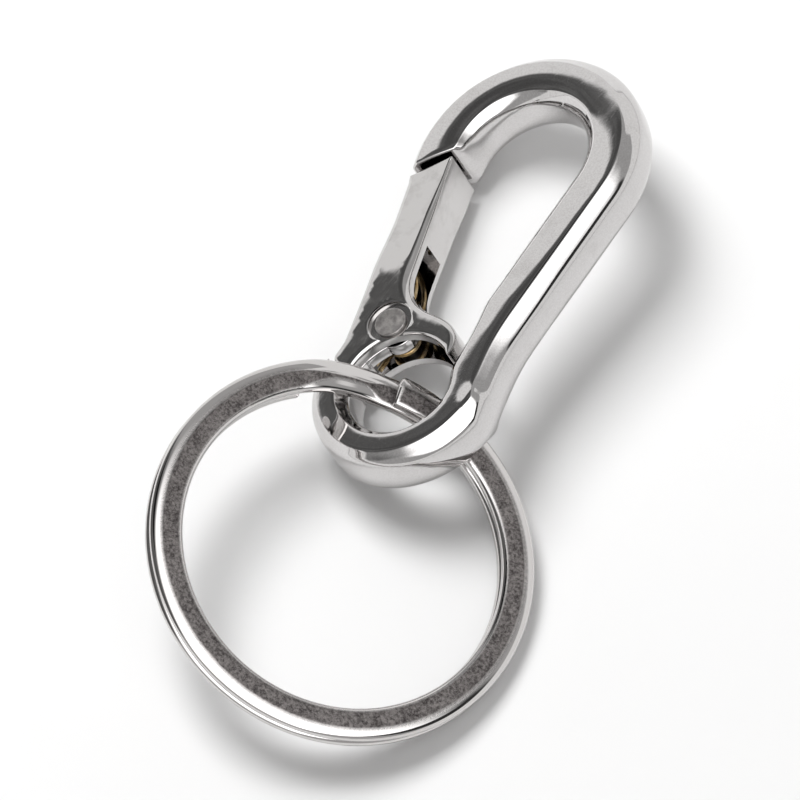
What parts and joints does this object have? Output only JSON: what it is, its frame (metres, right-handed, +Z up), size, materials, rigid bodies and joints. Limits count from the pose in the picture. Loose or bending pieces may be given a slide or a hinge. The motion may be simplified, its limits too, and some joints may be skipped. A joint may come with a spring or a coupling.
{
  "type": "carabiner keyring",
  "caption": "Cast snap hook with a sprung gate and a round eye, and a double-coil split ring threaded through the eye.",
  "frame": {"origin": "on the table, under the middle of the whole keyring as it lies at rest", "axes": "+Z up from the table, +Y along the keyring towards the hook's arch, +X towards the spine's side"},
  "size_m": [0.0292, 0.0588, 0.012],
  "materials": {
    "cast_body": "mirror polished plating",
    "cast_gate": "mirror polished plating",
    "rivet": "dull and grainy",
    "spring_wire": "drawn wire",
    "ring_steel": "satin flats with polished edges"
  },
  "bodies": {
    "hook_body": {"carabiner_body": "cast_body"},
    "gate_lever": {"gate": "cast_gate", "pivot_pin": "rivet", "gate_spring": "spring_wire"},
    "ring": {"split_ring": "ring_steel"}
  },
  "joints": [
    {"name": "gate_hinge", "type": "hinge", "parent": "hook_body", "child": "gate_lever", "pos_m": [-0.00641, 0.0036, 0.00384], "axis": [0.4485, 0.0975, -0.8884], "range_deg": [0, 18], "stiffness_Nm_per_rad": 0.008, "springref_deg": -68.75, "deforming": ["gate_spring"]},
    {"name": "ring_swivel", "type": "hinge", "parent": "hook_body", "child": "ring", "pos_m": [-0.00302, -0.00081, 0.00507], "axis": [-0.2208, 0.9753, -0.0045], "range_deg": [0, 92]}
  ]
}
